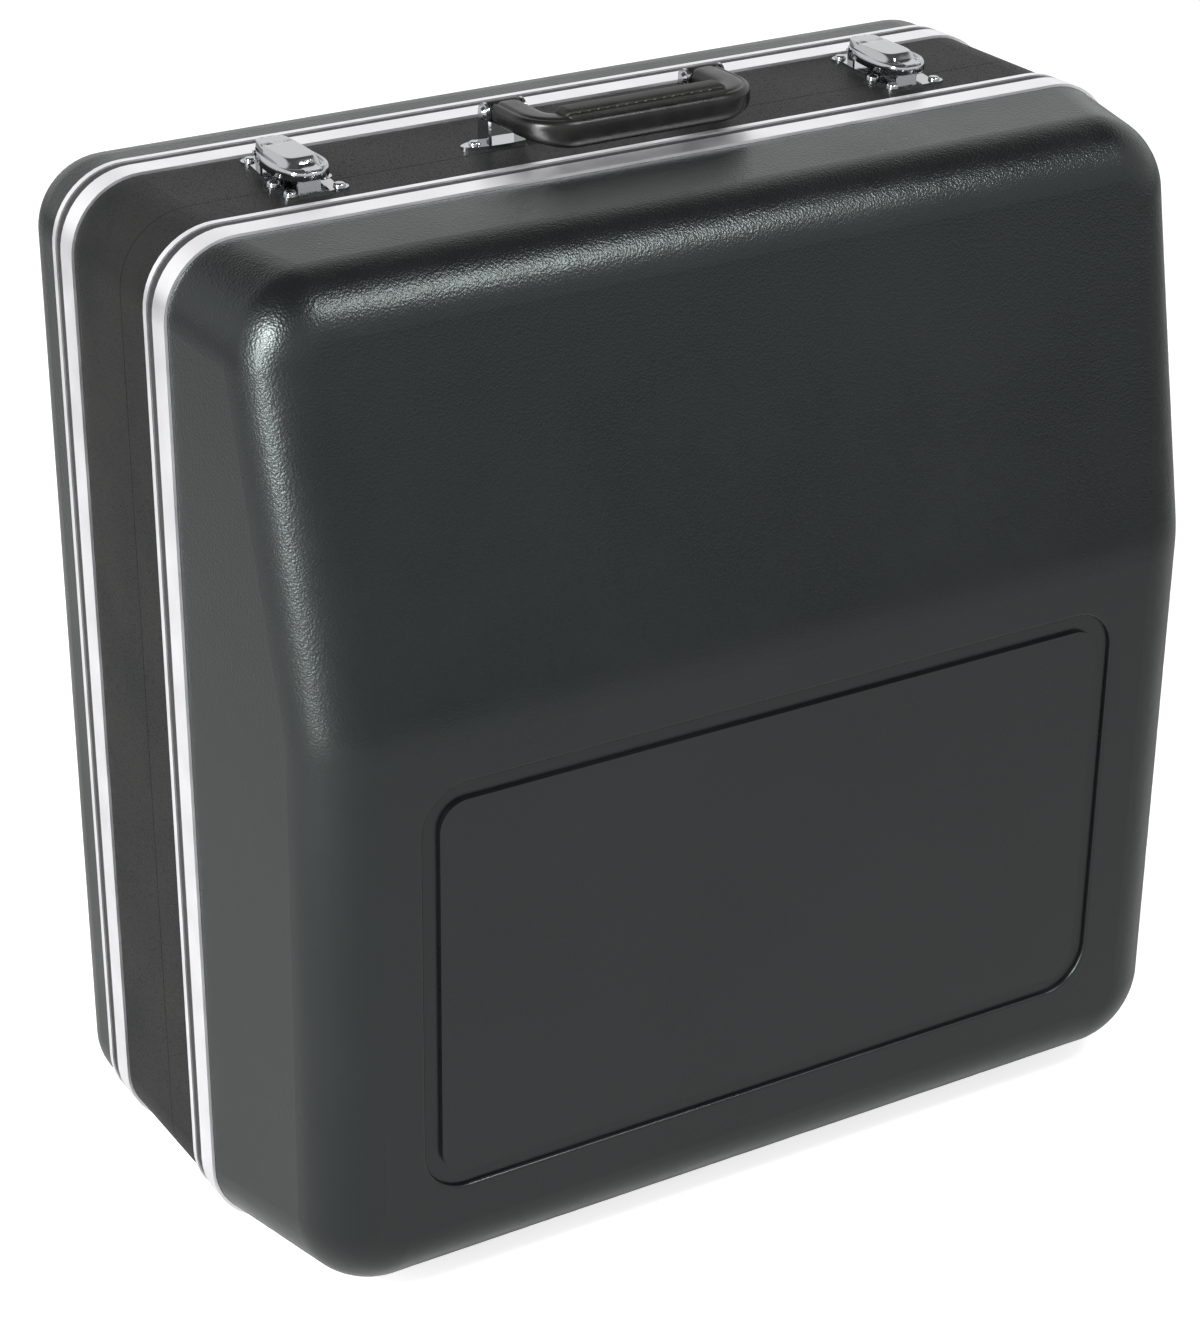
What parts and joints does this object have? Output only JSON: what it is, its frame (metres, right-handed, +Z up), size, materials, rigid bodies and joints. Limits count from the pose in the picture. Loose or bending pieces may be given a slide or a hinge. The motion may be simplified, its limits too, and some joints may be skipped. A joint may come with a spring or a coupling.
{
  "type": "accordion case",
  "caption": "Upright hard case with moulded front and back shells, aluminium trims, a split grained collar, a hinged lid, lever latches and a folding carrying handle.",
  "frame": {"origin": "on the floor under the middle of the case, standing on its feet", "axes": "+Z up, -Y out of the front of the lid, +X to the right seen from the front"},
  "size_m": [0.54, 0.2867, 0.5623],
  "materials": {
    "moulded_shell": "black moulded ABS, fine pebble grain, semi-gloss",
    "grained_collar": "black leather-grained covering",
    "bright_aluminium": "bright polished extrusion",
    "groove_strip": "matt black strip",
    "plush_lining": "short plush pile",
    "seam_frame": "matt black frame",
    "handle_moulding": "black moulding, soft sheen",
    "handle_grip": "stitched black grip cover",
    "foot_rubber": "black rubber",
    "zinc_steel": "zinc plated",
    "chrome_plate": "bright nickel-chrome plate"
  },
  "bodies": {
    "body": {"back_shell": "moulded_shell", "body_lining": "plush_lining", "feet_body": "foot_rubber", "foot_screws_body": "zinc_steel", "handle_bracket_left": "chrome_plate", "handle_bracket_right": "chrome_plate", "handle_bracket_rivets": "chrome_plate", "handle_pins": "chrome_plate", "hinge_leaf_body_left": "zinc_steel", "hinge_leaf_body_right": "zinc_steel", "hinge_pins": "zinc_steel", "hinge_rivets_body": "zinc_steel", "latch_plate_left": "chrome_plate", "latch_plate_right": "chrome_plate", "latch_plate_rivets": "chrome_plate", "rear_collar": "grained_collar", "rear_trim": "bright_aluminium", "rear_trim_insert": "groove_strip", "seam_tongue": "seam_frame"},
    "lid": {"feet_lid": "foot_rubber", "foot_screws_lid": "zinc_steel", "front_collar": "grained_collar", "front_shell": "moulded_shell", "front_trim": "bright_aluminium", "front_trim_insert": "groove_strip", "hinge_leaf_lid_left": "zinc_steel", "hinge_leaf_lid_right": "zinc_steel", "hinge_rivets_lid": "zinc_steel", "latch_strike_left": "chrome_plate", "latch_strike_right": "chrome_plate", "latch_strike_rivets": "chrome_plate", "lid_lining": "plush_lining"},
    "handle": {"handle_frame": "handle_moulding", "handle_grip": "handle_grip"},
    "lever_left": {"latch_lever_left": "chrome_plate", "latch_pins_left": "chrome_plate", "latch_spring_left": "zinc_steel"},
    "lever_right": {"latch_lever_right": "chrome_plate", "latch_pins_right": "chrome_plate", "latch_spring_right": "zinc_steel"},
    "claw_left": {"latch_claw_left": "chrome_plate"},
    "claw_right": {"latch_claw_right": "chrome_plate"}
  },
  "joints": [
    {"name": "lid_hinge", "type": "hinge", "parent": "body", "child": "lid", "pos_m": [0, 0.0224, 0.0067], "axis": [1, 0, 0], "range_deg": [0, 110]},
    {"name": "handle_fold", "type": "hinge", "parent": "body", "child": "handle", "pos_m": [0, 0.0329, 0.556], "axis": [-1, 0, 0], "range_deg": [0, 178]},
    {"name": "lever_left_lift", "type": "hinge", "parent": "body", "child": "lever_left", "pos_m": [-0.172, 0.0574, 0.5474], "axis": [-1, 0, 0], "range_deg": [0, 110]},
    {"name": "lever_right_lift", "type": "hinge", "parent": "body", "child": "lever_right", "pos_m": [0.172, 0.0574, 0.5474], "axis": [-1, 0, 0], "range_deg": [0, 110]},
    {"name": "claw_left_release", "type": "hinge", "parent": "lever_left", "child": "claw_left", "pos_m": [-0.172, 0.0274, 0.5497], "axis": [-1, 0, 0], "range_deg": [0, 9], "stiffness_Nm_per_rad": 0.02, "springref_deg": -14.32},
    {"name": "claw_right_release", "type": "hinge", "parent": "lever_right", "child": "claw_right", "pos_m": [0.172, 0.0274, 0.5497], "axis": [-1, 0, 0], "range_deg": [0, 9], "stiffness_Nm_per_rad": 0.02, "springref_deg": -14.32}
  ]
}
